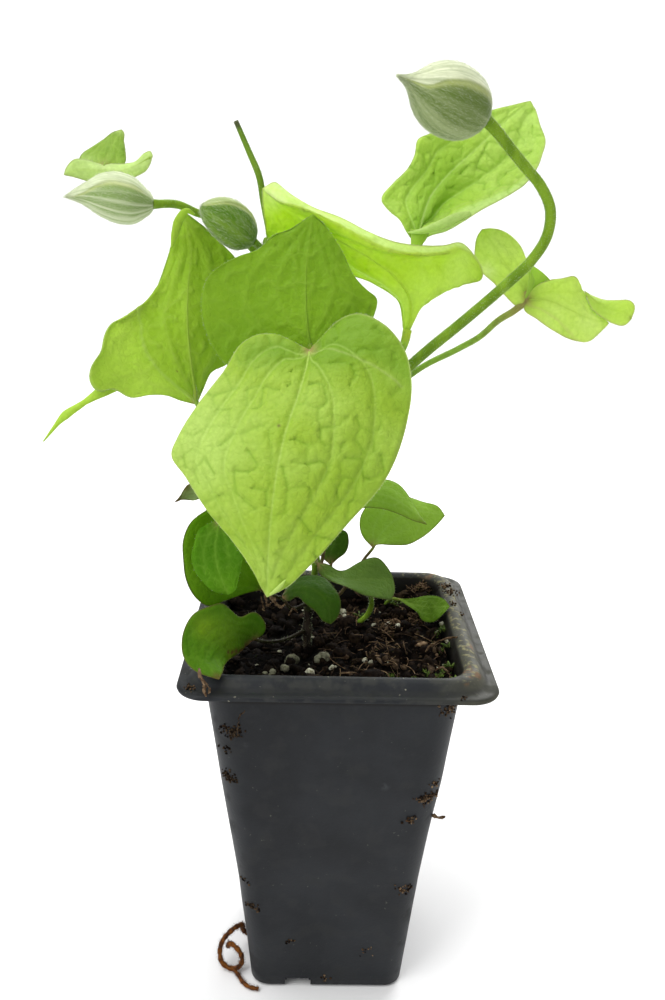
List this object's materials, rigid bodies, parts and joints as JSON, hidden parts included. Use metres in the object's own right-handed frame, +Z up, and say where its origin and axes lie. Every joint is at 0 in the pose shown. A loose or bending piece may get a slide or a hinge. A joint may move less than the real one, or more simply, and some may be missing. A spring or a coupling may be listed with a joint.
{
  "type": "potted clematis",
  "caption": "Young clematis with pale leaves and nodding woolly buds, standing in a square tapered nursery pot filled with soil.",
  "frame": {"origin": "on the ground under the centre of the pot's square rim", "axes": "+Z up along the plant, -Y towards the side that faces the viewer, +X to the viewer's right"},
  "size_m": [0.1248, 0.0636, 0.2006],
  "materials": {
    "pot_plastic": "matt, thin, dusty",
    "potting_soil": "rough and damp",
    "stem_green": "satin, finely haired",
    "bud_wool": "woolly",
    "leaf_pale": "satin",
    "leaf_mid": "satin",
    "leaf_dark": "satin",
    "root_brown": "matt, finely haired"
  },
  "bodies": {
    "root": {"pot": "pot_plastic", "soil": "potting_soil", "stem_main": "stem_green", "sprout": "stem_green", "bud_stalk_large": "stem_green", "bud_stalk_left": "stem_green", "bud_stalk_middle": "stem_green", "bud_large": "bud_wool", "bud_left": "bud_wool", "bud_middle": "bud_wool", "leaf_front": "leaf_pale", "leaf_arching": "leaf_pale", "leaf_cupped": "leaf_pale", "leaf_far": "leaf_pale", "leaf_by_bud": "leaf_pale", "leaf_standing": "leaf_mid", "leaf_left": "leaf_mid", "leaf_dark_upper": "leaf_dark", "leaf_dark_inner": "leaf_dark", "leaf_over_rim": "leaf_dark", "leaf_right_upper": "leaf_dark", "leaf_right_lower": "leaf_dark", "leaf_right_mid": "leaf_dark", "leaf_crown": "leaf_dark", "leaf_on_soil": "leaf_dark", "leaf_back_small": "leaf_dark", "leaf_dry": "leaf_dark", "root": "root_brown"}
  },
  "joints": []
}
